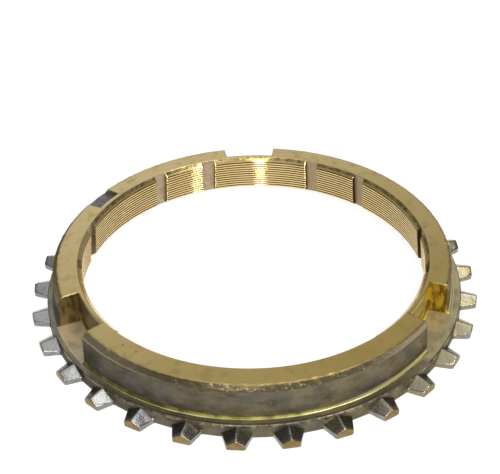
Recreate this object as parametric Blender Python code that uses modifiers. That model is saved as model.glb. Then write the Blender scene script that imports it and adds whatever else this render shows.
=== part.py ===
# Synchronizer ring of a car gearbox, cast and machined from one piece of brass.
# It lies on its toothed face: z = 0 is the face towards the gear, +Z points to the hub.
# The middle of the first strut notch is at +Y, and the ring's axis is the Z axis.

import math

import bmesh
import bpy
from mathutils import Matrix, Vector

# Sizes in metres, angles in degrees

ring_height = 0.0077
smooth_steps = 180

# Bore: a cone that grips the gear, chamfered at the hub end and relieved by a flat taper below
throat_radius = 0.0275
cone_half_angle = 7.0
bore_chamfer_width = 0.00072
bore_chamfer_drop = 0.00075
relief_width = 0.0024
relief_height = 0.0013

# Collar: the plain wall above the flange, measured from the wide end of the cone
collar_thickness = 0.00403
collar_draft_angle = 4.0
collar_chamfer_width = 0.0005
collar_chamfer_drop = 0.0008
foot_fillet_radius = 0.0005
fillet_steps = 4

# Flange that carries the teeth
flange_height = 0.0022
flange_overhang = 0.0015
flange_draft_angle = 3.0

# Teeth: a roof of two slanted faces with its ridge along the radius, narrow and blunted at the tip
tooth_count = 30
tooth_turn = -5.2
tooth_length = 0.0024
tooth_tip_width = 0.00255
tooth_tip_bevel = 0.0002
tooth_seat_width = 0.0049
tooth_seat_depth = 0.0008
ridge_step = 0.0001
ridge_fall = 0.00035
tip_shoulder_height = 0.001
seat_shoulder_height = 0.00065

# Strut notches, which leave a thin web of the collar on the bore side
notch_count = 3
notch_angle = 16.8
notch_web = 0.0007
notch_corner = 0.0003

# Oil grooves along the cone, in pairs
groove_pairs = 6
groove_turn = 15.8
groove_pair_angle = 20.0
groove_width = 0.0022
groove_depth = 0.00075

# Shallow slot in the hub face, about half-way between two notches
slot_turn = 59.2
slot_angle = 10.1
slot_depth = 0.0009
slot_lip = 0.0007

# How far a cutter runs past the face it opens
clearance = 0.001

brass_color = (0.51, 0.37, 0.15, 1.0)
brass_roughness = 0.38

cone_slope = math.tan(math.radians(cone_half_angle))
throat_height = ring_height - bore_chamfer_drop
bore_edge_radius = throat_radius + bore_chamfer_width
cone_mouth_radius = throat_radius + cone_slope * (throat_height - relief_height)
collar_foot_radius = cone_mouth_radius + collar_thickness
collar_chamfer_height = ring_height - collar_chamfer_drop
flange_radius = collar_foot_radius + flange_overhang
tip_radius = flange_radius + tooth_length
seat_radius = flange_radius - tooth_seat_depth
ridge_height = flange_height - ridge_step
first_notch = 90.0


def cone_radius(height):
    return throat_radius + cone_slope * (throat_height - height)


def collar_radius(height):
    lean = math.tan(math.radians(collar_draft_angle))
    return collar_foot_radius - lean * (height - flange_height)


def new_collection(name):
    collection = bpy.data.collections.new(name)
    bpy.context.scene.collection.children.link(collection)
    return collection


def new_object(name, build, collection):
    mesh = bpy.data.meshes.new(name)
    build.to_mesh(mesh)
    build.free()
    made = bpy.data.objects.new(name, mesh)
    collection.objects.link(made)
    return made


def new_cutter(name, build, collection):
    bmesh.ops.recalc_face_normals(build, faces=build.faces)
    cutter = new_object(name, build, collection)
    cutter.hide_render = True
    cutter.display_type = "WIRE"
    return cutter


def add_boolean(body, cutter, operation):
    joint = body.modifiers.new(cutter.name, "BOOLEAN")
    joint.operation = operation
    joint.solver = "EXACT"
    joint.object = cutter


# The ring's section as (radius, height): down its outer side, in along the base, up the bore
def ring_section():
    section = [
        (collar_radius(collar_chamfer_height) - collar_chamfer_width, ring_height),
        (collar_radius(collar_chamfer_height), collar_chamfer_height),
    ]
    fillet = min(foot_fillet_radius, 0.8 * flange_overhang)
    centre = (collar_radius(flange_height + fillet) + fillet, flange_height + fillet)
    for step in range(fillet_steps + 1):
        turn = math.radians(90 * step / fillet_steps)
        section.append((centre[0] - fillet * math.cos(turn), centre[1] - fillet * math.sin(turn)))
    flange_lean = math.tan(math.radians(flange_draft_angle)) * flange_height
    section += [
        (flange_radius - flange_lean, flange_height),
        (flange_radius, 0.0),
        (cone_mouth_radius + relief_width, 0.0),
        (cone_mouth_radius, relief_height),
        (throat_radius, throat_height),
        (bore_edge_radius, ring_height),
    ]
    return section


def make_ring_blank(collection):
    build = bmesh.new()
    points = [build.verts.new((radius, 0.0, height)) for radius, height in ring_section()]
    for start, end in zip(points, points[1:] + points[:1]):
        build.edges.new((start, end))
    blank = new_object("synchronizer_ring", build, collection)
    turned = blank.modifiers.new("turned", "SCREW")
    turned.axis = "Z"
    turned.steps = smooth_steps
    turned.render_steps = smooth_steps
    turned.use_merge_vertices = True
    turned.merge_threshold = 0.00001
    return blank


# A house-shaped section across a tooth: flat base, two upright sides and two roof faces
def tooth_section(build, radius, bevel=0.0):
    along = (radius - seat_radius) / (tip_radius - seat_radius)
    half = (tooth_seat_width + (tooth_tip_width - tooth_seat_width) * along) / 2 - bevel
    shoulder = seat_shoulder_height + (tip_shoulder_height - seat_shoulder_height) * along
    ridge = ridge_height - ridge_fall * along
    corners = [(-half, 0.0), (half, 0.0), (half, shoulder), (0.0, ridge), (-half, shoulder)]
    return [build.verts.new((radius, across, height)) for across, height in corners]


def make_teeth(collection):
    build = bmesh.new()
    for tooth in range(tooth_count):
        seat = tooth_section(build, seat_radius)
        neck = tooth_section(build, tip_radius - tooth_tip_bevel)
        tip = tooth_section(build, tip_radius, tooth_tip_bevel)
        build.faces.new(reversed(seat))
        build.faces.new(tip)
        for inner, outer in ((seat, neck), (neck, tip)):
            for side in range(len(inner)):
                after = (side + 1) % len(inner)
                build.faces.new((inner[side], inner[after], outer[after], outer[side]))
        turn = math.radians(first_notch + tooth_turn + 360 * tooth / tooth_count)
        bmesh.ops.rotate(build, verts=seat + neck + tip, matrix=Matrix.Rotation(turn, 3, "Z"))
    return new_cutter("teeth", build, collection)


# A cutter swept round the axis: its outline, as (radius, height), turned through an angle
def sector_cutter(name, outline, middle, angle, steps, collection):
    build = bmesh.new()
    start = math.radians(middle - angle / 2)
    corners = [build.verts.new((radius, 0.0, height)) for radius, height in outline]
    build.faces.new(corners)
    bmesh.ops.rotate(build, verts=corners, matrix=Matrix.Rotation(start, 3, "Z"))
    bmesh.ops.spin(
        build,
        geom=build.verts[:] + build.edges[:] + build.faces[:],
        axis=(0, 0, 1),
        angle=math.radians(angle),
        steps=steps,
    )
    return new_cutter(name, build, collection)


def cut_notches(ring, collection):
    web_radius = cone_radius(flange_height) + notch_web
    outside = flange_radius + clearance
    outline = [
        (web_radius, ring_height + clearance),
        (web_radius, flange_height + notch_corner),
        (web_radius + notch_corner, flange_height),
        (outside, flange_height),
        (outside, ring_height + clearance),
    ]
    for notch in range(notch_count):
        middle = first_notch + 360 * notch / notch_count
        cutter = sector_cutter(f"notch_{notch + 1}", outline, middle, notch_angle, 6, collection)
        add_boolean(ring, cutter, "DIFFERENCE")


def cut_slot(ring, collection):
    floor = ring_height - slot_depth
    lip_radius = bore_edge_radius + slot_lip
    outside = flange_radius + clearance
    top = ring_height + clearance
    outline = [(lip_radius, top), (lip_radius, floor), (outside, floor), (outside, top)]
    middle = first_notch + slot_turn
    cutter = sector_cutter("slot", outline, middle, slot_angle, 4, collection)
    add_boolean(ring, cutter, "DIFFERENCE")


# Each groove is a box laid along the cone: its outer face is the groove's floor
def cut_grooves(ring, collection):
    build = bmesh.new()
    length = 2 * (ring_height + clearance)
    reach = 2 * groove_depth + bore_chamfer_width
    lean = Matrix.Rotation(math.radians(-cone_half_angle), 4, "Y")
    size = Matrix.Diagonal((reach, groove_width, length, 1.0))
    middle_height = ring_height / 2
    shift = Matrix.Translation(Vector((groove_depth - reach / 2, 0.0, 0.0)))
    place = Matrix.Translation(Vector((cone_radius(middle_height), 0.0, middle_height)))
    for pair in range(groove_pairs):
        for side in (0, 1):
            degrees = first_notch + groove_turn + groove_pair_angle * side + 360 * pair / groove_pairs
            turn = Matrix.Rotation(math.radians(degrees), 4, "Z")
            bmesh.ops.create_cube(build, size=1.0, matrix=turn @ place @ lean @ shift @ size)
    add_boolean(ring, new_cutter("grooves", build, collection), "DIFFERENCE")


def make_brass():
    brass = bpy.data.materials.new("brass")
    brass.use_nodes = True
    shader = brass.node_tree.nodes["Principled BSDF"]
    shader.inputs["Base Color"].default_value = brass_color
    shader.inputs["Roughness"].default_value = brass_roughness
    shader.inputs["Metallic"].default_value = 1.0
    return brass


# Replaces the modifiers by their result, shaded smooth between its sharp edges
def settle(ring):
    shape = ring.evaluated_get(bpy.context.evaluated_depsgraph_get())
    mesh = bpy.data.meshes.new_from_object(shape)
    ring.modifiers.clear()
    ring.data = mesh
    mesh.shade_smooth()
    mesh.set_sharp_from_angle(angle=math.radians(25))


for old in list(bpy.data.objects):
    bpy.data.objects.remove(old)

parts = new_collection("synchronizer ring")
cutters = new_collection("cutters")

synchronizer_ring = make_ring_blank(parts)
synchronizer_ring.data.materials.append(make_brass())
cut_notches(synchronizer_ring, cutters)
cut_slot(synchronizer_ring, cutters)
add_boolean(synchronizer_ring, make_teeth(cutters), "UNION")
cut_grooves(synchronizer_ring, cutters)
settle(synchronizer_ring)
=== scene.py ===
# Looks of the synchronizer ring: its fine surface, its finishes, the floor, the light and the camera
import math

import bmesh
import bpy
import numpy as np
from mathutils import Matrix, Vector


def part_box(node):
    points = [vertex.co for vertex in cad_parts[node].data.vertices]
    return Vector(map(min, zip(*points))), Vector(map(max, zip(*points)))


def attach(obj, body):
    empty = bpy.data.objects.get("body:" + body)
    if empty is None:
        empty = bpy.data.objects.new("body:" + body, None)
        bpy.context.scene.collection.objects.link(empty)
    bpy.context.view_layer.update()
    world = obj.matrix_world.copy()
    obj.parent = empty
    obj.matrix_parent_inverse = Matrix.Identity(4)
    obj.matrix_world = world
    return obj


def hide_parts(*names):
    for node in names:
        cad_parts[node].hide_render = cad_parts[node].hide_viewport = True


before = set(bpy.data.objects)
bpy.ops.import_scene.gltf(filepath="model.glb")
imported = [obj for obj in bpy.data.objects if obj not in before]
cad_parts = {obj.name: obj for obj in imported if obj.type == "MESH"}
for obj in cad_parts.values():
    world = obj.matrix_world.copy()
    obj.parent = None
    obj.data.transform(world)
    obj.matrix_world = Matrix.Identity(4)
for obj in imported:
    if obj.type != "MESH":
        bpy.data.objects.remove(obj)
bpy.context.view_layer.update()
nodeName = "synchronizer_ring"
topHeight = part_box(nodeName)[1].z
mm = 0.001
print("frame loaded")

# Ring sizes in millimetres and degrees, the same as in the solid; its height comes from the frame
ring = {
    "height": topHeight / mm,
    "throatRadius": 27.5,
    "coneAngle": 7.0,
    "boreChamfer": (0.72, 0.75),  # width, drop
    "relief": (2.4, 1.3),  # width, height
    "collarThickness": 4.03,
    "collarDraft": 4.0,
    "rimChamfer": (0.5, 0.8),  # width, drop
    "footFillet": 0.5,
    "flangeHeight": 2.2,
    "flangeOverhang": 1.5,
    "flangeDraft": 3.0,
    "firstNotch": 90.0,
    "softEdge": 0.12,  # how far a worn edge is rounded
    "castShift": 0.25,  # how far the cast outside sits off the turned bore, towards -X
    "skinWander": 0.02,  # how far the cast skin strays outwards
    "skinWaves": (3, 60),  # its slowest and quickest waves round the ring
    "rimRipple": (0.025, 0.03),  # how far the filed rim strays, outwards and upwards
    "rimWaves": (50, 170),
    "sharpAngle": 62.0,
    "seed": 7,
}

teeth = {
    "count": 30,
    "turn": -5.2,
    "length": 2.4,
    "tipWidth": 2.55,
    "seatWidth": 4.9,
    "seatDepth": 0.8,
    "ridgeStep": 0.1,
    "ridgeFall": 0.35,
    "tipShoulder": 1.0,
    "seatShoulder": 0.65,
    "columns": (0.0, 0.25, 0.9, 1.5, 1.75, 1.95, 2.2, 2.7, 3.2, 3.6, 3.85, 4.5),  # degrees from the ridge
    "reach": 3.72,  # degrees from the ridge to where the flank meets the flange
    "tipReach": 2.0,  # degrees from the ridge to the side of the tip
    "uneven": 0.02,  # how much the teeth differ from each other
    "tipRound": 0.11,
    "rootRound": 0.05,
    "ridgeRound": 0.1,
    "tipWear": 0.16,
    "baseWear": (0.2, 0.08),  # on a tooth and between two
    "wallRows": (1.3, 0.5),  # heights between which the wall's rows lie beside a tooth
}

notches = {"count": 3, "angle": 16.8, "web": 0.7, "corner": 0.3, "edgeWear": 0.15}
grooves = {"pairs": 6, "turn": 15.8, "pairAngle": 20.0, "width": 2.2, "depth": 0.75, "edgeWear": 0.06}
slot = {"turn": 59.2, "angle": 10.1, "depth": 0.9, "lip": 0.7, "edgeWear": 0.1}
thread = {
    "count": 11,
    "shares": (0.0, 0.36, 0.47, 0.58, 0.80, 0.92),  # the points of one turn, upwards, as shares of the pitch
    "depths": (0.0, 0.0, 0.04, 0.15, 0.15, 0.04),  # how far each point lies behind the crest
    "rootSteps": (2, 3, 4),  # the points that begin the sides and floor of the root
}
# How far each edge of the section is rounded
rounding = {
    "bore": 0.05, "rimTop": 0.09, "rimFoot": 0.12, "web": 0.08,
    "slotLip": 0.08, "slotFoot": 0.15, "slotRim": 0.1,
}
# Columns at the edge of a cut, in degrees: just either side of it, a little outside, and the space kept free
cutColumns = {"either": 0.001, "outside": 0.14, "free": 0.08}

coneSlope = math.tan(math.radians(ring["coneAngle"]))
throatHeight = ring["height"] - ring["boreChamfer"][1]
boreEdge = ring["throatRadius"] + ring["boreChamfer"][0]
coneMouth = ring["throatRadius"] + coneSlope * (throatHeight - ring["relief"][1])
collarFoot = coneMouth + ring["collarThickness"]
flangeRadius = collarFoot + ring["flangeOverhang"]
tipRadius = flangeRadius + teeth["length"]
rimHeight = ring["height"] - ring["rimChamfer"][1]
halfGroove = math.degrees(math.asin(grooves["width"] / 2 / ring["throatRadius"]))


# The friction cone widens evenly downwards from its throat
def coneRadius(height):
    return ring["throatRadius"] + coneSlope * (throatHeight - height)


# The collar's wall narrows evenly upwards from its foot
def collarRadius(height):
    return collarFoot - math.tan(math.radians(ring["collarDraft"])) * (height - ring["flangeHeight"])


# The flange's wall narrows evenly upwards from the base
def flangeWall(height):
    return flangeRadius - math.tan(math.radians(ring["flangeDraft"])) * height


# A worn corner: three points, at a set distance before it, just inside it, and as far after it
def softCorner(before, corner, after, reach):
    before, corner, after = (np.array(point, float) for point in (before, corner, after))
    back = (before - corner) / np.linalg.norm(before - corner)
    on = (after - corner) / np.linalg.norm(after - corner)
    return [corner + back * reach, corner + (back + on) * reach * 0.3, corner + on * reach]


# Points between two ends, evenly spaced, with both ends left out
def between(start, end, count):
    share = np.linspace(0.0, 1.0, count + 2)[1:-1, None]
    return list(np.array(start, float) * (1 - share) + np.array(end, float) * share)


# An arc of a quarter turn round a centre, from its inner side down to its lowest point
def footArc(centre, radius, count):
    turn = np.radians(np.linspace(0.0, 90.0, count))
    return list(np.stack([centre[0] - radius * np.cos(turn), centre[1] - radius * np.sin(turn)], 1))


# Joins runs of points, each with its finish, into one section: points, and the finish after each point
def joined(*runs):
    points = np.array([point for finish, run in runs for point in run])
    return points, [finishNumber[finish] for finish, run in runs for point in run]


# Outer sections from the bore edge to the flange edge, as (radius, height): the plain one and those
# through a notch and through the slot, with as many points each
def outerSections():
    top, flat, soft = ring["height"], ring["flangeHeight"], ring["softEdge"]
    fillet, corner = ring["footFillet"], notches["corner"]
    web = coneRadius(flat) + notches["web"]
    rimTop = (collarRadius(rimHeight) - ring["rimChamfer"][0], top)
    rimFoot = (collarRadius(rimHeight), rimHeight)
    arcCentre = (collarRadius(flat + fillet) + fillet, flat + fillet)
    arcEnd, flangeEdge = (arcCentre[0], flat), (flangeWall(flat), flat)
    slotFloor, lip = top - slot["depth"], boreEdge + slot["lip"]
    slotEdge = (collarRadius(slotFloor), slotFloor)
    meeting = (collarRadius(slotFloor - soft), slotFloor - soft)  # where slot and wall meet again

    inner = softCorner((coneRadius(throatHeight), throatHeight), (boreEdge, top), rimTop, rounding["bore"])
    rimEdge = softCorner(inner[-1], rimTop, rimFoot, rounding["rimTop"])
    rimCorner = softCorner(rimTop, rimFoot, meeting, rounding["rimFoot"])
    wall = [meeting] + between(meeting, (collarRadius(flat + fillet), flat + fillet), 7)
    arc = footArc(arcCentre, fillet, 7)
    flange = between(arcEnd, flangeEdge, 3)
    flangeSoft = softCorner(arcEnd, flangeEdge, (flangeWall(0.0), 0.0), soft)
    notchTail = [("flangeTop", arc[-1:] + flange), ("flangeEdge", flangeSoft)]
    tail = [("footBand", arc[-1:] + flange[:1]), ("flangeTop", flange[1:]), ("flangeEdge", flangeSoft)]
    # The fillet's upper rows carry painted shade at the front, its lower rows a painted highlight at the
    # front
    foot = [("castWall", wall), ("footShade", arc[:4]), ("footHighlight", arc[4:6])]
    full = joined(
        ("faceTurned", inner + between(inner[-1], rimTop, 5) + rimEdge[:1]),
        ("rimChamfer", rimEdge[1:] + between(rimTop, rimFoot, 3) + rimCorner[:2]),
        ("castWall", rimCorner[2:]),
        *foot,
        *tail,
    )

    lipEdge = softCorner(inner[-1], (lip, top), (lip, slotFloor), rounding["slotLip"])
    slotFoot = softCorner((lip, top), (lip, slotFloor), slotEdge, rounding["slotFoot"])
    slotRim = softCorner((lip, slotFloor), slotEdge, meeting, rounding["slotRim"])
    slotted = joined(
        ("faceTurned", inner + between(inner[-1], (lip, top), 1) + lipEdge[:2]),
        ("grooveWall", lipEdge[2:]),
        ("slotFloor", slotFoot + between((lip, slotFloor), slotEdge, 5) + slotRim[:2]),
        *foot,
        *tail,
    )

    webEdge = softCorner(inner[-1], (web, top), (web, flat), rounding["web"])
    webFoot = softCorner((web, top), (web, flat), arcEnd, corner)
    notched = joined(
        ("faceTurned", inner + between(inner[-1], (web, top), 1) + webEdge[:2]),
        ("notchWall", webEdge[2:] + between((web, top), (web, flat), 7) + webFoot[:2]),
        ("notchFloor", webFoot[2:] + between((web + corner, flat), arcEnd, 14)),
        *notchTail,
    )
    return full, notched, slotted


# Bore sections from the base round the relief and up the cone to the bore edge, as (radius, height):
# with the thread, each of its points that far behind the cone, and through a groove, a set depth behind it
def boreSections():
    mouth, base = (coneMouth, ring["relief"][1]), (coneMouth + ring["relief"][0], 0.0)
    pitch = (throatHeight - ring["relief"][1]) / thread["count"]
    turns = np.arange(thread["count"])[:, None]
    height = (ring["relief"][1] + pitch * (turns + np.array(thread["shares"]))).ravel()
    behind = np.tile(thread["depths"], thread["count"])
    cone = np.stack([coneRadius(height) + behind, height], 1)
    throat = (ring["throatRadius"], throatHeight)
    chamfer = between(throat, (boreEdge, ring["height"]), 2)
    relief = [np.array(base)] + between(base, mouth, 2)
    land = joined(
        ("faceTurned", relief),
        ("coneThread", list(cone) + [np.array(throat)]),
        ("boreChamfer", chamfer),
    )
    for turn in range(thread["count"]):
        for step in thread["rootSteps"]:
            land[1][len(relief) + turn * len(thread["shares"]) + step] = finishNumber["threadRoot"]

    drop = grooves["depth"] / (ring["relief"][0] / ring["relief"][1] - coneSlope)
    start = ring["relief"][1] - drop
    foot = (coneRadius(start) + grooves["depth"], start)
    above = np.linspace(throatHeight, ring["height"], 4)[1:-1]
    level = np.concatenate([[start], height[1:], [throatHeight], above])
    cut = np.stack([coneRadius(level) + grooves["depth"], level], 1)
    grooved = joined(("faceTurned", [np.array(base)] + between(base, foot, 2)), ("grooveFloor", list(cut)))
    return land, grooved


# Turns at which the notches stand, evenly spaced round the ring
def notchMiddles():
    return ring["firstNotch"] + 360 / notches["count"] * np.arange(notches["count"])


# Turns at which the grooves stand: evenly spaced pairs
def grooveMiddles():
    starts = ring["firstNotch"] + grooves["turn"] + 360 / grooves["pairs"] * np.arange(grooves["pairs"])
    return np.concatenate([starts, starts + grooves["pairAngle"]]) % 360


# An angle brought between -180 and 180 degrees
def wrapped(angle):
    return (angle + 180) % 360 - 180


# Columns round the ring: where each stands, and the angle just beside it that says what it belongs to
def ringColumns():
    pitch = 360 / teeth["count"]
    sides = {side * turn for turn in teeth["columns"] for side in (-1, 1)}
    offsets = np.array(sorted(sides | {pitch / 2}))
    centres = ring["firstNotch"] + teeth["turn"] + pitch * np.arange(teeth["count"])
    plain = (centres[:, None] + offsets).ravel() % 360
    edges = [(middle, notches["angle"] / 2) for middle in notchMiddles()]
    edges += [(ring["firstNotch"] + slot["turn"], slot["angle"] / 2)]
    edges += [(middle, halfGroove) for middle in grooveMiddles()]
    special = []
    for middle, half in edges:
        for side in (-1, 1):
            edge = middle + side * half
            outside = edge + side * cutColumns["outside"]
            special += [(edge, edge - cutColumns["either"]), (edge, edge + cutColumns["either"])]
            special += [(outside, outside)]
    places = np.array([place for place, probe in special]) % 360
    near = np.abs(wrapped(plain[:, None] - places)).min(1) < cutColumns["free"]
    both = np.array([(angle, angle) for angle in plain[~near]] + special)
    both = both[np.argsort(both[:, 1] % 360)]
    return both[:, 0] % 360, both[:, 1] % 360


# Distance in degrees past the edge of the nearest cut: below zero inside it
def pastEdge(probe, middles, half):
    return np.abs(wrapped(probe[:, None] - np.atleast_1d(middles))).min(1) - half


# The smaller of two values, with the corner between them rounded
def smoothMin(first, second, reach):
    return -reach * np.logaddexp(-first / reach, -second / reach)


# Slow wandering round the ring: a sum of sines with seeded phases, about one unit high
def wander(angle, low, high, random):
    waves = np.arange(low, high)
    phase = random.uniform(0, 2 * np.pi, len(waves))
    height = random.normal(0, 1, len(waves)) / np.sqrt(len(waves))
    return (height * np.sin(np.radians(angle)[..., None] * waves + phase)).sum(-1)


# Flange edge, roof-shaped tooth and base: in polar terms a tooth ends at the nearer of its tip plane
# and its flank line, and its roof falls from the ridge in proportion to the distance from it
def toothRows(angle, random):
    pitch = 360 / teeth["count"]
    centre = ring["firstNotch"] + teeth["turn"]
    number = np.round(wrapped(angle - centre) / pitch).astype(int) % teeth["count"]
    away = np.radians(wrapped(angle - centre - number * pitch))
    uneven = random.normal(0, teeth["uneven"], (4, teeth["count"]))[:, number]
    halfTip, halfSeat = teeth["tipWidth"] / 2 + uneven[0], teeth["seatWidth"] / 2 + uneven[3]
    seatRadius = flangeRadius - teeth["seatDepth"]
    reach = tipRadius - seatRadius
    lean = (halfSeat - halfTip) / reach
    side = np.abs(away)
    flank = (halfTip + lean * tipRadius) / (np.sin(side) + lean * np.cos(side))
    outside = smoothMin((tipRadius - np.abs(uneven[1])) / np.cos(side), flank, teeth["tipRound"])
    outside = -smoothMin(-outside, np.full_like(outside, -flangeRadius), teeth["rootRound"])
    outside = np.minimum(outside, tipRadius)
    inTooth = side < math.radians(teeth["reach"])
    rootHeight = ring["flangeHeight"] - ring["softEdge"]
    root = np.array([flangeWall(rootHeight), rootHeight])

    def roof(radius):
        along = (radius * np.cos(away) - seatRadius) / reach
        ridge = ring["flangeHeight"] - teeth["ridgeStep"] - teeth["ridgeFall"] * along
        shoulder = teeth["seatShoulder"] * (1 - along) + teeth["tipShoulder"] * along
        half = halfSeat + (halfTip - halfSeat) * along
        across = np.sqrt((radius * np.sin(away)) ** 2 + teeth["ridgeRound"] ** 2)
        return np.minimum(ridge - (ridge - shoulder) * across / half + uneven[2] * 0.5, rootHeight - 0.04)

    wallStart, wallEnd = teeth["wallRows"]
    startHeight = np.where(inTooth, roof(np.full_like(away, flangeWall(teeth["tipShoulder"]))), wallStart)
    start = np.stack([flangeWall(startHeight), startHeight], -1)
    outside = np.where(inTooth, np.maximum(outside, start[:, 0] + 0.03), flangeWall(wallEnd))
    endHeight = np.where(inTooth, roof(outside), wallEnd)
    end = np.stack([outside, endHeight], -1)
    base = np.stack([np.where(inTooth, outside, flangeRadius), np.zeros_like(outside)], -1)
    inner = np.stack([np.full_like(outside, coneMouth + ring["relief"][0]), np.zeros_like(outside)], -1)

    def spread(first, last, shares):
        return [first * (1 - share) + last * share for share in shares]

    # Rows down the wall, out along the roof, round the worn tip, down to the base and in along it
    length = np.linalg.norm(end - start, axis=1)[:, None]
    soft = np.clip(teeth["tipWear"] / np.maximum(length, 0.01), 0, 0.3)
    worn = np.where(inTooth, *teeth["baseWear"])[:, None]
    rows = spread(np.broadcast_to(root, start.shape), start, (0.35, 0.7))
    rows += spread(start, end, (0.0, 0.25, 0.5, 0.75)) + [end * (1 - soft) + start * soft]
    rows += [end - (end - start) * soft * 0.3 - [0.0, 0.03], end - [0.0, 0.12]]
    rows += spread(end - [0.0, 0.12], base, (0.35, 0.65))
    rows += [base + worn * [0.0, 1.0], base + worn * [-0.3, 0.3], base + worn * [-1.0, 0.0]]
    rows += spread(base - worn * [1.0, 0.0], inner, (0.3, 0.65))
    labels = ["castWall"] * 2 + ["toothFace"] * 5 + ["toothTip"] * 5 + ["faceTurned"] * 4
    return np.stack(rows, 1), inTooth, side, [finishNumber[label] for label in labels]


# Depth by which the surface sinks beside a cut, as a round of the given radius
def sunk(past, radius, reach):
    distance = np.clip(np.radians(np.maximum(past, 0)) * radius, 0, reach)
    return reach - np.sqrt(reach**2 - (reach - distance) ** 2)


# The whole ring as one grid, columns round the axis by rows round its section, closed both ways
def ringSurface():
    random = np.random.default_rng(ring["seed"])
    angle, probe = ringColumns()
    (full, fullFinish), (notched, notchFinish), (slotted, slotFinish) = outerSections()
    (land, landFinish), (cut, cutFinish) = boreSections()
    pastNotch = pastEdge(probe, notchMiddles(), notches["angle"] / 2)
    pastSlot = pastEdge(probe, ring["firstNotch"] + slot["turn"], slot["angle"] / 2)
    pastGroove = pastEdge(probe, grooveMiddles(), halfGroove)
    inNotch, inSlot, inGroove = pastNotch < 0, pastSlot < 0, pastGroove < 0
    isRow = np.array(fullFinish)[None, :]
    turned, rim = isRow == finishNumber["faceTurned"], isRow == finishNumber["rimChamfer"]
    walled = np.isin(isRow, [finishNumber[name] for name in ("castWall", "footShade", "footHighlight")])

    outer = np.where(inNotch[:, None, None], notched, np.where(inSlot[:, None, None], slotted, full))
    bore = np.where(inGroove[:, None, None], cut, land)
    teethRows, inTooth, side, toothFinish = toothRows(angle, random)

    # Worn edges beside the notches, the slot and the grooves
    notchSink = np.where(inNotch, 0, sunk(pastNotch, collarFoot, notches["edgeWear"]))[:, None]
    slotSink = np.where(inSlot | inNotch, 0, sunk(pastSlot, collarFoot, slot["edgeWear"]))[:, None]
    beyond = np.arange(len(full))[None, :] >= 3  # the first three rows are the bore's own edge
    down = np.clip((ring["height"] - outer[:, :, 1]) / ring["rimChamfer"][1], 0, 1)
    outer[:, :, 1] -= np.where((turned | rim) & beyond, (notchSink + slotSink) * (1 - down), 0)
    outer[:, :, 0] -= np.where(rim | walled, notchSink * down, 0)
    grooveSink = sunk(pastGroove, ring["throatRadius"], grooves["edgeWear"])
    bore[:, 3:, 0] += np.where(inGroove, 0, grooveSink)[:, None]

    # The casting sits a little to one side, by the cosine of the turn, and its skin and filed rim are uneven
    solid = ~inNotch[:, None] & ~inSlot[:, None]
    cast = (rim | walled) & ~inNotch[:, None]
    aside = -ring["castShift"] * np.cos(np.radians(probe))[:, None]
    aside = aside + ring["skinWander"] * wander(probe, *ring["skinWaves"], random)[:, None]
    outer[:, :, 0] += np.where(cast, aside * down, 0)
    flange = np.isin(isRow[0], [finishNumber["footBand"], finishNumber["flangeTop"]])
    inward = (flangeRadius - full[:, 0]) / (flangeRadius - collarFoot - ring["footFillet"])
    outer[:, :, 0] += np.where(flange, aside * np.clip(inward, 0, 1), 0)
    ripple = wander(probe[:, None] + 4 * np.arange(len(full))[None, :], *ring["rimWaves"], random)
    outer[:, :, 1] += np.where(rim & solid, ring["rimRipple"][1] * ripple - 0.02, 0)
    outer[:, :, 0] += np.where(rim & solid, ring["rimRipple"][0] * ripple[:, ::-1], 0)

    section = np.concatenate([outer, teethRows, bore], 1)
    section[..., 1] = np.clip(section[..., 1], 0, ring["height"])
    turn = np.radians(np.repeat(angle[:, None], section.shape[1], 1))

    # A groove's walls are parallel, so its edge columns lean with the radius
    nearest = grooveMiddles()[np.abs(wrapped(angle[:, None] - grooveMiddles())).argmin(1)]
    atGroove = np.abs(np.abs(wrapped(angle - nearest)) - halfGroove) < 0.002
    boreStart = section.shape[1] - bore.shape[1]
    parallel = np.arcsin(grooves["width"] / 2 / section[:, boreStart:, 0])
    parallel = parallel * np.sign(wrapped(angle - nearest))[:, None]
    leaning = np.radians(nearest)[:, None] + parallel
    turn[:, boreStart:] = np.where(atGroove[:, None], leaning, turn[:, boreStart:])
    place = np.stack([section[..., 0] * np.cos(turn), section[..., 0] * np.sin(turn), section[..., 1]], -1)

    # Each face takes the finish of its row; a face across a step takes that of the step's wall
    outerFinish = np.where(inSlot[:, None], slotFinish, fullFinish)
    outerFinish = np.where(inNotch[:, None], notchFinish, outerFinish)
    after = np.roll(np.arange(len(angle)), -1)
    outerFinish = np.where((inNotch != inNotch[after])[:, None], finishNumber["notchEnd"], outerFinish)
    outerFinish = np.where((inSlot != inSlot[after])[:, None], finishNumber["grooveWall"], outerFinish)
    toothFinish = np.array(toothFinish)
    atTip = side < math.radians(teeth["tipReach"])
    beside = (toothFinish == finishNumber["toothTip"]) & ~(atTip & atTip[after])[:, None]
    toothSide = np.where(beside, finishNumber["toothFace"], toothFinish)
    plainSide = np.where(toothFinish == finishNumber["faceTurned"], toothFinish, finishNumber["castWall"])
    toothSide = np.where((inTooth & inTooth[after])[:, None], toothSide, plainSide)
    boreFinish = np.where(inGroove[:, None], cutFinish, landFinish)
    boreFinish = np.where((inGroove != inGroove[after])[:, None], finishNumber["grooveWall"], boreFinish)
    return place * mm, np.concatenate([outerFinish, toothSide, boreFinish], 1)


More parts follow.
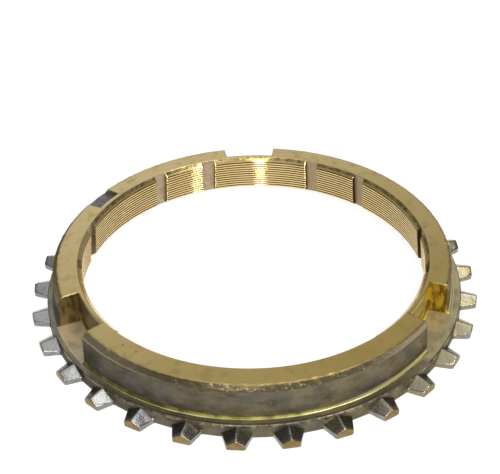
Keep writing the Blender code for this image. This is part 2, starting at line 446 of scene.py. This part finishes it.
# Puts the grid into a mesh: each cell is a quad, wound so that it faces out
def makeRing():
    place, finish = ringSurface()
    columns, rows = place.shape[:2]
    index = np.arange(columns * rows).reshape(columns, rows)
    nextColumn, nextRow = np.roll(index, -1, 0), np.roll(index, -1, 1)
    quads = np.stack([index, nextRow, np.roll(nextRow, -1, 0), nextColumn], -1).reshape(-1, 4)
    mesh = bpy.data.meshes.new("ringSurface")
    mesh.from_pydata(place.reshape(-1, 3), [], quads.tolist())
    for name in finishNumber:
        mesh.materials.append(bpy.data.materials[name])
    mesh.polygons.foreach_set("material_index", finish.ravel())
    piece = bpy.data.objects.new("ringSurface", mesh)
    bpy.context.scene.collection.objects.link(piece)
    weldPiece(piece)
    mesh.set_sharp_from_angle(angle=math.radians(ring["sharpAngle"]))
    index = np.empty(len(mesh.polygons), int)
    mesh.polygons.foreach_get("material_index", index)
    cutWalls = [finishNumber[name] for name in ("notchEnd", "grooveWall")]
    mesh.polygons.foreach_set("use_smooth", ~np.isin(index, cutWalls))
    return piece


# Doubled columns share their points wherever the section is the same on both sides
def weldPiece(piece):
    build = bmesh.new()
    build.from_mesh(piece.data)
    bmesh.ops.remove_doubles(build, verts=build.verts, dist=0.001 * mm)
    bmesh.ops.dissolve_degenerate(build, edges=build.edges, dist=0.0005 * mm)
    bmesh.ops.recalc_face_normals(build, faces=build.faces)
    build.to_mesh(piece.data)
    build.free()


# A socket that takes part in sums: an expression on it adds the Math nodes
class Flow:
    def __init__(self, tree, socket=None):
        self.tree = tree
        self.socket = socket

    def node(self, kind, settings=None, inputs=None, output=0):
        made = self.tree.nodes.new(kind)
        for name, value in (settings or {}).items():
            setattr(made, name, value)
        for name, value in (inputs or {}).items():
            if isinstance(value, Flow):
                self.tree.links.new(value.socket, made.inputs[name])
            else:
                made.inputs[name].default_value = value
        return Flow(self.tree, made.outputs[output])

    def math(self, operation, *values):
        return self.node("ShaderNodeMath", {"operation": operation}, dict(enumerate(values)))

    def __add__(self, other):
        return self.math("ADD", self, other)

    def __radd__(self, other):
        return self.math("ADD", other, self)

    def __sub__(self, other):
        return self.math("SUBTRACT", self, other)

    def __rsub__(self, other):
        return self.math("SUBTRACT", other, self)

    def __mul__(self, other):
        return self.math("MULTIPLY", self, other)

    def __rmul__(self, other):
        return self.math("MULTIPLY", other, self)

    def __truediv__(self, other):
        return self.math("DIVIDE", self, other)

    def __pow__(self, other):
        return self.math("POWER", self, other)

    def clipped(self):
        return self.node("ShaderNodeClamp", None, {"Value": self})

    # Rises smoothly from 0 to 1 as the value goes from low to high
    def rise(self, low, high):
        limits = {"Value": self, "From Min": low, "From Max": high}
        return self.node("ShaderNodeMapRange", {"interpolation_type": "SMOOTHSTEP"}, limits)


# From the first colour to the second as the share goes from 0 to 1
def mixColor(share, first, second):
    return share.node("ShaderNodeMix", {"data_type": "RGBA"}, {0: share, 6: first, 7: second}, 2)


# Cloudy noise from 0 to 1
def noise(place, scale, detail=3.0, roughness=0.55):
    values = {"Vector": place, "Scale": scale, "Detail": detail, "Roughness": roughness}
    return place.node("ShaderNodeTexNoise", None, values)


# A spot on the ring in millimetres: its place and its parts, its radius, which is the root of the sum of
# two squares, and its turn as a cosine and a sine
def ringSpot(flow):
    place = flow.node("ShaderNodeTexCoord", None, None, 3)
    place = place.node("ShaderNodeVectorMath", {"operation": "SCALE"}, {0: place, "Scale": 1 / mm})
    split = flow.tree.nodes.new("ShaderNodeSeparateXYZ")
    flow.tree.links.new(place.socket, split.inputs[0])
    across, along, height = (Flow(flow.tree, output) for output in split.outputs)
    radius = (across * across + along * along) ** 0.5
    return {
        "place": place, "across": across, "along": along, "height": height, "radius": radius,
        "cosine": across / radius, "sine": along / radius,
    }


# How far a spot faces a given turn round the ring: 1 there, 0 on the far side
def facing(spot, degrees):
    turn = math.radians(degrees)
    return spot["cosine"] * (math.cos(turn) / 2) + spot["sine"] * (math.sin(turn) / 2) + 0.5


# A grain drawn out round the axis: the direction, scaled, and the radius and height in one
def roundGrain(spot, arc, radial, axial):
    level = spot["radius"] * radial + spot["height"] * axial
    parts = {"X": spot["cosine"] * arc, "Y": spot["sine"] * arc, "Z": level}
    return level.node("ShaderNodeCombineXYZ", None, parts)


# A new material of the given name, and its shader
def newFinish(name, metallic):
    material = bpy.data.materials.new(name)
    material.use_nodes = True
    shader = material.node_tree.nodes["Principled BSDF"]
    shader.inputs["Metallic"].default_value = metallic
    return Flow(material.node_tree), shader


# Links colour, roughness and bump to a shader; the bump's distance is in millimetres
def feed(flow, shader, color, roughness, height, bump, distance):
    values = {"Height": height, "Strength": bump, "Distance": distance * mm}
    raised = flow.node("ShaderNodeBump", None, values)
    for name, value in (("Base Color", color), ("Roughness", roughness), ("Normal", raised)):
        flow.tree.links.new(value.socket, shader.inputs[name])


faceLook = {
    # pale is painted light on one side of the face, the shaded tone is painted shade on the other
    "pale": (0.6, 0.473, 0.23, 1),
    "shadedTone": (0.353, 0.257, 0.083, 1),
    "litTurn": 134.0,
    "rings": (6.0, 9.0, 1.0),  # how fine they are round the axis, outwards and upwards
    "patchScale": 0.12,  # a larger scale is a finer grain, here and below
    "stain": (0.24, 0.167, 0.053, 1),
    "stainShare": 0.42,
    "stainScale": 0.5,
    "pit": (0.053, 0.037, 0.013, 1),
    "pitScale": 0.9,
    "roughness": 0.34,
    "scratches": [((-29.5, 10.2), (-30.9, 9.6), 0.07), ((-28.6, 8.4), (-30.2, 10.9), 0.05)],
    "dents": [((29.4, -1.2), 0.16), ((-18.9, -22.7), 0.2), ((-16.9, -24.2), 0.17), ((-29.9, 2.0), 0.1)],
}


# Distance from a spot to a short straight line on the face, by way of the line's nearest point
def lineDistance(spot, start, end):
    length = math.dist(start, end)
    right, up = (end[0] - start[0]) / length, (end[1] - start[1]) / length
    fromX, fromY = spot["across"] - start[0], spot["along"] - start[1]
    along = fromX * right + fromY * up
    along = along.math("MAXIMUM", along, 0.0)
    along = along.math("MINIMUM", along, length)
    missX, missY = fromX - along * right, fromY - along * up
    return (missX * missX + missY * missY) ** 0.5


# Turned and lapped face: fine rings round the axis, painted light on one side and painted shade on the
# other, with stains, scratches and dents
def makeFace(name, look):
    flow, shader = newFinish(name, 1.0)
    spot = ringSpot(flow)
    rings = noise(roundGrain(spot, *look["rings"]), 1.0, 2.0)
    patches = noise(spot["place"], look["patchScale"], 2.0)
    # Painted light towards one turn and painted shade away from it
    share = facing(spot, look["litTurn"]) + (patches - 0.5) * 0.35 + (rings - 0.5) * 0.12
    stains = noise(spot["place"], look["stainScale"], 4.0).rise(0.5, 0.72) * look["stainShare"]
    marks = 1 - noise(spot["place"], look["pitScale"], 1.0).rise(0.2, 0.24)
    for start, end, width in look["scratches"]:
        marks = marks + (1 - lineDistance(spot, start, end).rise(width * 0.4, width)) * 0.6
    for (x, y), size in look["dents"]:
        away = ((spot["across"] - x) ** 2.0 + (spot["along"] - y) ** 2.0) ** 0.5
        marks = marks + (1 - away.rise(size * 0.5, size)) * 0.8
    color = mixColor(share.clipped(), look["shadedTone"], look["pale"])
    color = mixColor(stains, color, look["stain"])
    color = mixColor(marks.clipped() * 0.8, color, look["pit"])
    roughness = rings * 0.14 + (look["roughness"] - 0.07) + marks * 0.2
    feed(flow, shader, color, roughness, rings - marks * 2.0, 0.12, 0.012)


castLook = {
    "cool": (0.075, 0.068, 0.055, 1),
    "warm": (0.215, 0.178, 0.104, 1),
    "warmTurn": 330.0,
    "warmFrom": 0.1,
    "frontLighting": (0.067, 0.06, 0.04, 1),  # painted light and shade over the front
    "frontLightingTurn": 268.0,
    "frontLightingShare": 0.0,
    "blotches": (11.0, 0.8, 0.8),  # how fine they are round the axis, outwards and upwards
    "dark": (0.019, 0.015, 0.009, 1),
    "darkShare": 0.6,
    "light": (0.193, 0.167, 0.123, 1),
    "lightShare": 0.55,
    "blue": (0.087, 0.09, 0.097, 1),
    "blueShare": 0.6,
    "blueScale": 0.3,
    "grainScale": 3.2,
    "grainShares": (0.4, 0.5),  # of the light tone and of the dark one
    "grazing": (0.4, 0.37, 0.31, 1),  # gloss where the surface is seen edge on
    "roughness": 0.40,
    "metallic": 0.7,
    "bump": 0.35,
}
flangeLook = castLook | {
    "cool": (0.28, 0.26, 0.2, 1),
    "warm": (0.52, 0.435, 0.235, 1),
    "warmTurn": 350.0,
    "warmFrom": 0.52,
    # Painted shade over the front of the flange
    "frontLighting": (0.113, 0.097, 0.06, 1),
    "frontLightingShare": 0.75,
    "dark": (0.053, 0.045, 0.029, 1),
    "light": (0.4, 0.347, 0.22, 1),
    "darkShare": 0.42,
    "blueShare": 0.45,
    "roughness": 0.38,
    "metallic": 0.85,
}
# Near the foot the front's painted shade is lighter
footBandLook = flangeLook | {"frontLighting": (0.31, 0.27, 0.125, 1), "frontLightingShare": 0.85}
notchFloorLook = flangeLook | {
    "cool": (0.56, 0.467, 0.287, 1),
    "warm": (0.376, 0.311, 0.161, 1),
    "frontLightingShare": 0.0,
    "darkShare": 0.15,
    "roughness": 0.48,
    "metallic": 0.5,
}
toothLook = castLook | {
    "cool": (0.28, 0.28, 0.273, 1),
    "warm": (0.306, 0.268, 0.153, 1),
    "warmTurn": 0.0,
    "warmFrom": 0.3,
    "dark": (0.133, 0.12, 0.093, 1),
    "light": (0.38, 0.368, 0.331, 1),
    "blue": (0.267, 0.267, 0.273, 1),
    "darkShare": 0.42,
    "blueShare": 0.45,
    "grazing": (1.0, 1.0, 1.0, 1),
    "roughness": 0.17,
    "metallic": 1.0,
    "bump": 0.5,
}


# As-cast skin: cool on one side of the ring and warm on the other, with painted light and shade over the
# front, under dark, pale and blue-grey blotches, grainy and a little lumpy
def makeCast(name, look):
    flow, shader = newFinish(name, look["metallic"])
    shader.inputs["Specular Tint"].default_value = look["grazing"]
    spot = ringSpot(flow)
    blotches = noise(roundGrain(spot, *look["blotches"]), 1.0, 4.0, 0.6)
    grain = noise(spot["place"], look["grainScale"], 3.0, 0.65)
    fine = noise(spot["place"], 9.0, 2.0, 0.6)
    drift = (noise(spot["place"], 0.15, 2.0) - 0.5) * 0.4
    side = (facing(spot, look["warmTurn"]) + drift).rise(look["warmFrom"], 1.0)
    # Painted light and shade over the front
    frontLighting = facing(spot, look["frontLightingTurn"]).rise(0.72, 0.95)
    color = mixColor(side, look["cool"], look["warm"])
    color = mixColor(frontLighting * look["frontLightingShare"], color, look["frontLighting"])
    color = mixColor((1 - blotches.rise(0.24, 0.60)) * look["darkShare"], color, look["dark"])
    color = mixColor(blotches.rise(0.5, 0.75) * look["lightShare"], color, look["light"])
    blue = noise(spot["place"], look["blueScale"], 3.0).rise(0.44, 0.68)
    color = mixColor(blue * look["blueShare"], color, look["blue"])
    lightShare, darkShare = look["grainShares"]
    color = mixColor(grain.rise(0.5, 0.75) * lightShare, color, look["light"])
    color = mixColor((1 - grain.rise(0.25, 0.45)) * darkShare, color, look["dark"])
    roughness = grain * 0.2 + (look["roughness"] - 0.1)
    feed(flow, shader, color, roughness, grain + blotches * 2 + fine * 0.3, look["bump"], 0.05)


rimLook = {
    # The front, side and far tones are painted shade and light
    "frontLighting": (0.114, 0.091, 0.048, 1),
    "frontLightingTurn": 272.0,
    "side": (0.346, 0.295, 0.186, 1),
    "far": (0.18, 0.153, 0.095, 1),
    "wear": (22.0, 1.6, 1.6),  # how fine it is round the axis, outwards and upwards
    "speck": (0.506, 0.435, 0.255, 1),
    "speckTurn": 300.0,
    "speckScale": 3.0,
    "grazing": (0.35, 0.31, 0.24, 1),
    "roughness": 0.3,
}


# Hand-filed rim: painted shade at the front, painted light at the sides and painted shade at the back, worn
# unevenly where they meet, under bright specks that are partly bare brass and partly painted glints, most of
# them near one turn
def makeRim(name, look):
    flow, shader = newFinish(name, 0.95)
    shader.inputs["Specular Tint"].default_value = look["grazing"]
    spot = ringSpot(flow)
    worn = noise(roundGrain(spot, *look["wear"]), 1.0, 3.0, 0.6)
    worn = worn + (facing(spot, look["speckTurn"]) - 0.8) * 0.5
    specks = noise(spot["place"], look["speckScale"], 3.0, 0.7)
    # Painted shade at the front, painted light at the sides and painted shade at the back
    near = facing(spot, look["frontLightingTurn"])
    share = near.rise(0.86, 0.985) + (worn - 0.5) * 0.25
    color = mixColor(share.clipped(), look["side"], look["frontLighting"])
    color = mixColor(near.rise(0.52, 0.74), look["far"], color)
    # Bright specks: partly bare brass, partly painted glints
    color = mixColor((specks.rise(0.57, 0.68) * worn.rise(0.45, 0.6)).clipped(), color, look["speck"])
    feed(flow, shader, color, specks * 0.3 + (look["roughness"] - 0.1), specks + worn, 0.5, 0.05)


threadLook = {
    "gold": (0.862, 0.643, 0.273, 1),
    "pale": (0.924, 0.704, 0.343, 1),
    "arc": 8.0,  # how fine the tone changes round the axis
    "speckle": 0.1,
    "roughness": 0.16,
    "bump": 0.0,
    "anisotropy": 1.0,
}
# The roots' darker tones are painted shade in the hollows of the thread
rootShadeLook = threadLook | {"gold": (0.251, 0.17, 0.06, 1), "pale": (0.341, 0.24, 0.09, 1)}
tipLook = {
    "gold": (0.242, 0.16, 0.064, 1),
    "pale": (0.3, 0.222, 0.097, 1),
    "arc": 40.0,
    "speckle": 0.6,
    "roughness": 0.36,
    "bump": 0.1,
    "anisotropy": 0.0,
}
edgeLook = tipLook | {
    "gold": (0.093, 0.08, 0.053, 1),
    "pale": (0.267, 0.233, 0.153, 1),
    "arc": 45.0,
    "roughness": 0.3,
}
# These three show their gold tones only near one turn; the rest is dull, with olive near another turn. On
# the bore edge the gold tones are bare brass; on the foot they are painted: a painted highlight along its
# line and painted shade above it
boreEdgeLook = tipLook | {
    "gold": (0.286, 0.204, 0.078, 1),
    "pale": (0.676, 0.511, 0.217, 1),
    "goldTurn": 45.0,
    "goldFrom": (0.2, 0.3),
    "dull": (0.823, 0.641, 0.329, 1),
    "olive": (0.823, 0.641, 0.329, 1),
    "oliveTurn": 45.0,
    "arc": 30.0,
    "roughness": 0.2,
}
footHighlightLook = tipLook | {
    # gold and pale are a painted highlight along the foot's line at the front
    "gold": (0.367, 0.327, 0.113, 1),
    "pale": (0.613, 0.573, 0.28, 1),
    "goldTurn": 280.0,
    "goldFrom": (0.72, 0.86),
    "dull": (0.227, 0.207, 0.147, 1),
    "olive": (0.667, 0.56, 0.3, 1),
    "oliveTurn": 355.0,
    "arc": 12.0,
    "roughness": 0.2,
}
footShadeLook = footHighlightLook | {
    # gold and pale are painted shade over the fillet at the front
    "gold": (0.107, 0.093, 0.033, 1),
    "pale": (0.3, 0.267, 0.08, 1),
    "goldTurn": 250.0,
    "goldFrom": (0.86, 0.95),
    "dull": (0.173, 0.157, 0.113, 1),
    "olive": (1.0, 0.86, 0.40, 1),
    "roughness": 0.45,
}


# Bare cut brass that changes tone along the cut; anisotropy draws its highlights out across the cut. Where a
# look has a dull tone, its gold tones show only near one turn, which on the foot is a painted highlight
# along its line and painted shade above it
def makeCutBrass(name, look):
    flow, shader = newFinish(name, 1.0)
    shader.inputs["Anisotropic"].default_value = look["anisotropy"]
    shader.inputs["Anisotropic Rotation"].default_value = 0.25  # a quarter turn
    spot = ringSpot(flow)
    tone = noise(roundGrain(spot, look["arc"], 0.8, 0.8), 1.0, 3.0, 0.6)
    fine = noise(spot["place"], 6.0, 2.0)
    share = (tone.rise(0.36, 0.64) + (fine - 0.5) * look["speckle"]).clipped()
    color = mixColor(share, look["gold"], look["pale"])
    if "dull" in look:
        dull = mixColor(facing(spot, look["oliveTurn"]).rise(0.7, 0.95), look["dull"], look["olive"])
        # On the foot the gold tones near that turn are a painted highlight along its line and painted shade
        # above it
        color = mixColor(facing(spot, look["goldTurn"]).rise(*look["goldFrom"]), dull, color)
    feed(flow, shader, color, tone * 0.06 + (look["roughness"] - 0.03), fine, look["bump"], 0.01)


notchEndLook = {
    # gold is painted shade on one side of the ring, pale is painted light on the other
    "gold": (0.302, 0.235, 0.125, 1),
    "pale": (0.80, 0.56, 0.08, 1),
    "litTurn": 350.0,
    "stains": (1.2, 0.4, 7.0),  # how fine they are outwards, upwards and round the axis
    "dark": (0.11, 0.065, 0.013, 1),
    "darkShare": 0.8,
    "roughness": 0.36,
}
notchWebLook = notchEndLook | {
    "gold": (0.286, 0.234, 0.139, 1),
    "pale": (1.0, 0.86, 0.28, 1),
    "darkShare": 0.35,
}


# Milled walls of a notch: painted shade on one side of the ring and painted light on the other, with dark
# stains drawn out up the wall
def makeNotchWall(name, look):
    flow, shader = newFinish(name, 1.0)
    spot = ringSpot(flow)
    out, up, arc = look["stains"]
    parts = {"X": spot["radius"] * out, "Y": spot["height"] * up, "Z": spot["cosine"] * arc}
    stains = noise(flow.node("ShaderNodeCombineXYZ", None, parts), 1.0, 4.0, 0.6)
    # Painted light towards one turn, painted shade away from it
    side = facing(spot, look["litTurn"]).rise(0.35, 0.8)
    color = mixColor((side + (stains - 0.5) * 0.3).clipped(), look["gold"], look["pale"])
    color = mixColor((1 - stains.rise(0.41, 0.58)) * look["darkShare"], color, look["dark"])
    feed(flow, shader, color, stains * 0.2 + (look["roughness"] - 0.1), stains, 0.25, 0.03)


grooveLook = {
    "pink": (0.52, 0.407, 0.264, 1),
    "brown": (0.39, 0.295, 0.186, 1),
    # The shaded tone is painted shade on one side of the ring
    "shadedTone": (0.4, 0.29, 0.168, 1),
    "shadedTurn": 35.0,
    "stainScale": 1.3,
    "roughness": 0.5,
    "metallic": 0.7,
}
wallLook = grooveLook | {
    "pink": (0.307, 0.233, 0.147, 1),
    "brown": (0.213, 0.153, 0.09, 1),
    "shadedTone": (0.06, 0.037, 0.017, 1),
    "roughness": 0.45,
    "metallic": 0.8,
}
slotLook = grooveLook | {
    "pink": (0.187, 0.185, 0.185, 1),
    "brown": (0.1, 0.1, 0.103, 1),
    "shadedTone": (0.187, 0.185, 0.185, 1),
    "shadedTurn": 0.0,
    "roughness": 0.45,
}


# Dull milled cut, stained all over, with painted shade on one side of the ring
def makeDull(name, look):
    flow, shader = newFinish(name, look["metallic"])
    spot = ringSpot(flow)
    stain = noise(spot["place"], look["stainScale"], 4.0, 0.6)
    color = mixColor(stain.rise(0.35, 0.7), look["pink"], look["brown"])
    # Painted shade towards one turn
    color = mixColor(facing(spot, look["shadedTurn"]).rise(0.55, 1.0), color, look["shadedTone"])
    feed(flow, shader, color, stain * 0.2 + (look["roughness"] - 0.1), stain, 0.3, 0.03)


# Each finish of the ring: what makes it, and its look
makers = {
    "faceTurned": (makeFace, faceLook),
    "rimChamfer": (makeRim, rimLook),
    "castWall": (makeCast, castLook),
    "footShade": (makeCutBrass, footShadeLook),
    "footHighlight": (makeCutBrass, footHighlightLook),
    "footBand": (makeCast, footBandLook),
    "flangeTop": (makeCast, flangeLook),
    "flangeEdge": (makeCutBrass, edgeLook),
    "slotFloor": (makeDull, slotLook),
    "notchWall": (makeNotchWall, notchWebLook),
    "notchEnd": (makeNotchWall, notchEndLook),
    "notchFloor": (makeCast, notchFloorLook),
    "toothFace": (makeCast, toothLook),
    "toothTip": (makeCutBrass, tipLook),
    "coneThread": (makeCutBrass, threadLook),
    "threadRoot": (makeCutBrass, rootShadeLook),
    "boreChamfer": (makeCutBrass, boreEdgeLook),
    "grooveFloor": (makeDull, grooveLook),
    "grooveWall": (makeDull, wallLook),
}
finishNumber = {name: number for number, name in enumerate(makers)}
for name, (maker, look) in makers.items():
    maker(name, look)
print("finishes made")

ringPiece = makeRing()
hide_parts(nodeName)
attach(ringPiece, "root")
print("ring surface made:", len(ringPiece.data.polygons), "faces")

floorLook = {"size": 60.0, "drop": 0.0001, "color": (0.8, 0.8, 0.8, 1), "glow": 0.88, "shadow": 0.2}


# One for rays from the camera, from glossy surfaces and through clear ones
def seenRays(flow):
    rays = flow.tree.nodes.new("ShaderNodeLightPath")
    names = ("Is Camera Ray", "Is Glossy Ray", "Is Transmission Ray")
    camera, glossy, through = (Flow(flow.tree, rays.outputs[name]) for name in names)
    return (camera + glossy + through).clipped()


# White floor: mostly even white to the camera and in reflections, with the ring's shadow kept faint
def makeFloor():
    half = floorLook["size"] / 2
    corners = [(-half, -half, 0.0), (half, -half, 0.0), (half, half, 0.0), (-half, half, 0.0)]
    mesh = bpy.data.meshes.new("floor")
    mesh.from_pydata(corners, [], [(0, 1, 2, 3)])
    floor = bpy.data.objects.new("floor", mesh)
    bpy.context.scene.collection.objects.link(floor)
    material = bpy.data.materials.new("floorWhite")
    material.use_nodes = True
    tree = material.node_tree
    tree.nodes.remove(tree.nodes["Principled BSDF"])
    flow = Flow(tree)
    share = floorLook["shadow"]
    glow = flow.node("ShaderNodeEmission", None, {"Color": (1, 1, 1, 1), "Strength": floorLook["glow"]})
    faint = flow.node("ShaderNodeBsdfDiffuse", None, {"Color": (share, share, share, 1)})
    both = flow.node("ShaderNodeAddShader", None, {0: glow, 1: faint})
    plain = flow.node("ShaderNodeBsdfDiffuse", None, {"Color": floorLook["color"]})
    shown = flow.node("ShaderNodeMixShader", None, {0: seenRays(flow), 1: plain, 2: both})
    tree.links.new(shown.socket, tree.nodes["Material Output"].inputs["Surface"])
    mesh.materials.append(material)
    floor.location.z = -floorLook["drop"]


room = {
    "walls": 0.25,
    "ceiling": 1.28,
    "ceilingFrom": (0.80, 0.96),  # sine of the height angle where it begins and where it is at its full
    "patches": [(90.0, 33.0, 37.0, 0.9), (270.0, 12.0, 42.0, 0.68)],  # turn, height angle, reach, brightness
    "patchCore": 0.45,  # share of the reach that is evenly bright
}


# A room with a bright ceiling that fades into dim walls, and a pale patch behind the ring and before it
def makeWorld():
    world = bpy.data.worlds.new("studio")
    bpy.context.scene.world = world
    world.use_nodes = True
    flow = Flow(world.node_tree)
    sight = flow.node("ShaderNodeTexCoord", None, None, 0)
    up = sight.node("ShaderNodeVectorMath", {"operation": "DOT_PRODUCT"}, {0: sight, 1: (0, 0, 1)}, 1)
    strength = up.rise(*room["ceilingFrom"]) * (room["ceiling"] - room["walls"])
    for turn, lift, reach, brightness in room["patches"]:
        turn, lift = math.radians(turn), math.radians(lift)
        aim = (math.cos(turn) * math.cos(lift), math.sin(turn) * math.cos(lift), math.sin(lift))
        near = sight.node("ShaderNodeVectorMath", {"operation": "DOT_PRODUCT"}, {0: sight, 1: aim}, 1)
        edge, core = (math.cos(math.radians(degrees)) for degrees in (reach, reach * room["patchCore"]))
        patch = near.rise(edge, core) * (brightness - room["walls"])
        strength = strength.math("MAXIMUM", strength, patch)
    background = world.node_tree.nodes["Background"]
    background.inputs["Color"].default_value = (1, 1, 1, 1)
    world.node_tree.links.new((strength + room["walls"]).socket, background.inputs["Strength"])


# Lamps as turn round the ring, height angle, roll, distance, width, height and power in watts
lamps = {
    "ceilingLight": (350.0, 68.0, 0.0, 0.6, 0.22, 0.20, 0.36),
    "stripFront": (262.5, 38.0, 0.0, 0.7, 0.060, 0.50, 1.8),
    "stripRight": (308.5, 38.0, 0.0, 0.7, 0.048, 0.50, 1.65),
}


# Each lamp stands at its distance along its direction and faces the ring's middle
def makeLamps():
    for name, (turn, lift, roll, distance, width, height, power) in lamps.items():
        data = bpy.data.lights.new(name, "AREA")
        data.shape = "RECTANGLE"
        data.size, data.size_y = width, height
        data.energy = power
        lamp = bpy.data.objects.new(name, data)
        bpy.context.scene.collection.objects.link(lamp)
        flat = Vector((math.cos(math.radians(turn)), math.sin(math.radians(turn)), 0.0))
        place = flat * math.cos(math.radians(lift)) + Vector((0.0, 0.0, math.sin(math.radians(lift))))
        aim = (-place).to_track_quat("-Z", "Y").to_matrix() @ Matrix.Rotation(math.radians(roll), 3, "Z")
        lamp.matrix_world = Matrix.Translation(place * distance) @ aim.to_4x4()


# The photograph's camera: its distance in metres, its sensor in millimetres and its angles in degrees
view = {
    "sensorWidth": 36.0,
    "focalPixels": 902.6,
    "frameWidth": 500,
    "distance": 0.1506,
    "turn": -0.4,  # degrees round the ring from its front
    "lift": 38.62,
    "panUp": 2.93,
    "panSide": 0.16,
    "roll": -1.54,
    "nearest": 0.005,
}


# The camera stands at its turn and height angle, looks at the ring's middle and is then turned a little
def makeCamera():
    data = bpy.data.cameras.new("photoCamera")
    data.sensor_width = view["sensorWidth"]
    data.sensor_fit = "HORIZONTAL"
    data.lens = view["sensorWidth"] * view["focalPixels"] / view["frameWidth"]
    data.clip_start = view["nearest"]
    camera = bpy.data.objects.new("photoCamera", data)
    bpy.context.scene.collection.objects.link(camera)
    lift, turn = math.radians(view["lift"]), math.radians(view["turn"])
    base = Matrix.Rotation(turn, 3, "Z") @ Matrix.Rotation(math.pi / 2 - lift, 3, "X")
    side, up, roll = (math.radians(view[name]) for name in ("panSide", "panUp", "roll"))
    aim = base @ Matrix.Rotation(side, 3, "Y") @ Matrix.Rotation(up, 3, "X")
    aim = aim @ Matrix.Rotation(roll, 3, "Z")
    camera.matrix_world = Matrix.Translation(base @ Vector((0, 0, view["distance"]))) @ aim.to_4x4()
    bpy.context.scene.camera = camera


makeFloor()
makeWorld()
makeLamps()
makeCamera()
bpy.context.scene.view_settings.view_transform = "Standard"
print("stage, light and camera made")

bpy.context.view_layer.update()
